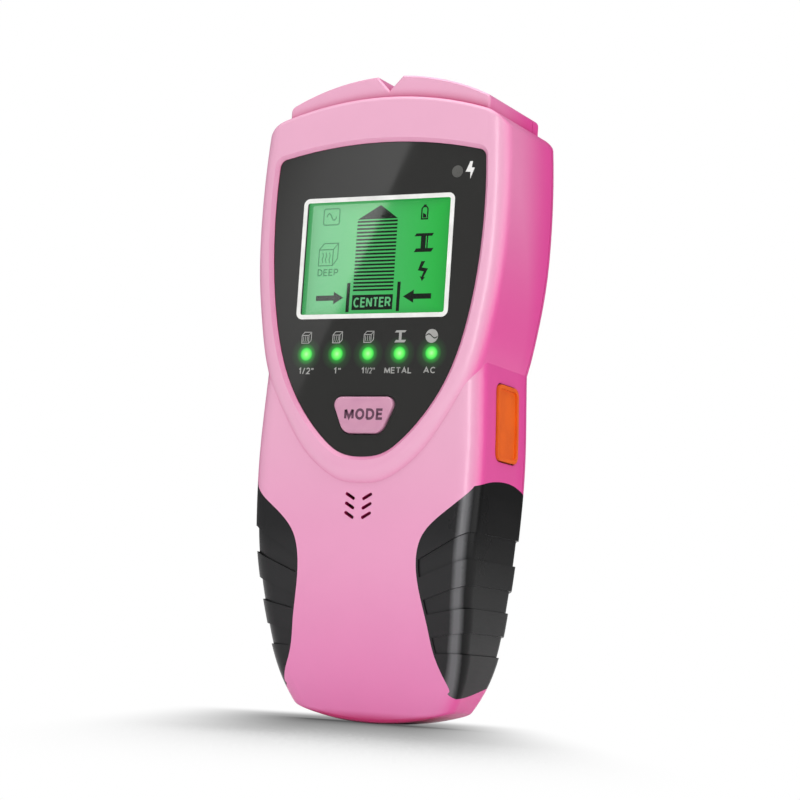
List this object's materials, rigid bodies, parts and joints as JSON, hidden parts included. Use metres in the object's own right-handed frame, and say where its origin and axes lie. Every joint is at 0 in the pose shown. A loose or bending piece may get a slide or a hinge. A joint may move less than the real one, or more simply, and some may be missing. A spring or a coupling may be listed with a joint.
{
  "type": "stud finder",
  "caption": "Hand-held stud finder: shield-shaped head with display window, lamps and marking notch, gripped lower body, mode and power buttons, and a hinged battery door.",
  "frame": {"origin": "on the flat rear face that slides on the wall, on the centre line, mid-height", "axes": "+Z towards the marking notch, +Y out of the rear face towards the wall, +X to the right for a user looking at the display"},
  "size_m": [0.0676, 0.0309, 0.1561],
  "materials": {
    "shell": "satin moulded",
    "grip": "matte overmoulded",
    "lens": "polished, smoke tinted",
    "mode_button": "satin moulded",
    "orange": "satin moulded",
    "board": "solder mask over glass-fibre laminate",
    "black_plastic": "moulded",
    "white_plastic": "moulded",
    "light_guide": "moulded, diffusing",
    "display": "polished",
    "contact_rubber": "layered conductive",
    "lamp": "cast epoxy",
    "warning_lamp": "cast epoxy",
    "steel": "zinc plated",
    "tin": "nickel plated",
    "copper": "etched copper",
    "winding": "enamelled wire",
    "brass": "rolled sheet",
    "battery": "printed sleeve",
    "foam": "closed-cell foam",
    "red_wire": "extruded",
    "black_wire": "extruded"
  },
  "bodies": {
    "housing": {"front_shell": "shell", "rear_shell": "shell", "right_grip": "grip", "left_grip": "grip", "display_lens": "lens", "shell_screws": "steel", "board_screws": "steel", "sensor_board_screws": "steel", "mode_switch": "black_plastic", "power_switch": "black_plastic", "switch_board": "board", "main_board": "board", "display_holder": "white_plastic", "display_backlight": "light_guide", "display_glass": "display", "display_contacts": "contact_rubber", "indicator_lamps": "lamp", "warning_lamp": "warning_lamp", "microcontroller": "black_plastic", "amplifier_chips": "black_plastic", "clock_crystal": "tin", "filter_capacitors": "black_plastic", "chip_resistors": "black_plastic", "sounder_ring": "black_plastic", "sounder_disc": "brass", "sensor_board": "board", "sensor_plates": "copper", "coil_former": "white_plastic", "metal_coil": "winding", "board_header": "black_plastic", "battery_case": "battery", "battery_terminals": "tin", "clip_contacts": "tin", "battery_clip": "black_plastic", "red_lead": "red_wire", "black_lead": "black_wire"},
    "mode_button": {"mode_button": "mode_button"},
    "mode_plunger": {"mode_switch_plunger": "white_plastic"},
    "power_button": {"power_button": "orange"},
    "power_plunger": {"power_switch_plunger": "white_plastic"},
    "door": {"battery_door": "shell", "battery_pad": "foam"}
  },
  "joints": [
    {"name": "mode_press", "type": "slide", "parent": "housing", "child": "mode_button", "axis": [0, 1, 0], "range_m": [0, 0.00035], "stiffness_N_per_m": 1500},
    {"name": "mode_plunger_travel", "type": "slide", "parent": "housing", "child": "mode_plunger", "axis": [0, 1, 0], "range_m": [0, 0.00035]},
    {"name": "power_press", "type": "slide", "parent": "housing", "child": "power_button", "axis": [-1, 0, 0], "range_m": [0, 0.00035], "stiffness_N_per_m": 1500},
    {"name": "power_plunger_travel", "type": "slide", "parent": "housing", "child": "power_plunger", "axis": [-1, 0, 0], "range_m": [0, 0.00035]},
    {"name": "door_hinge", "type": "hinge", "parent": "housing", "child": "door", "pos_m": [0, -0.002, -0.0624], "axis": [-1, 0, 0], "range_deg": [0, 75]}
  ],
  "couplings": [
    {"joint": "mode_plunger_travel", "follows": "mode_press", "ratio": 1},
    {"joint": "power_plunger_travel", "follows": "power_press", "ratio": 1}
  ]
}
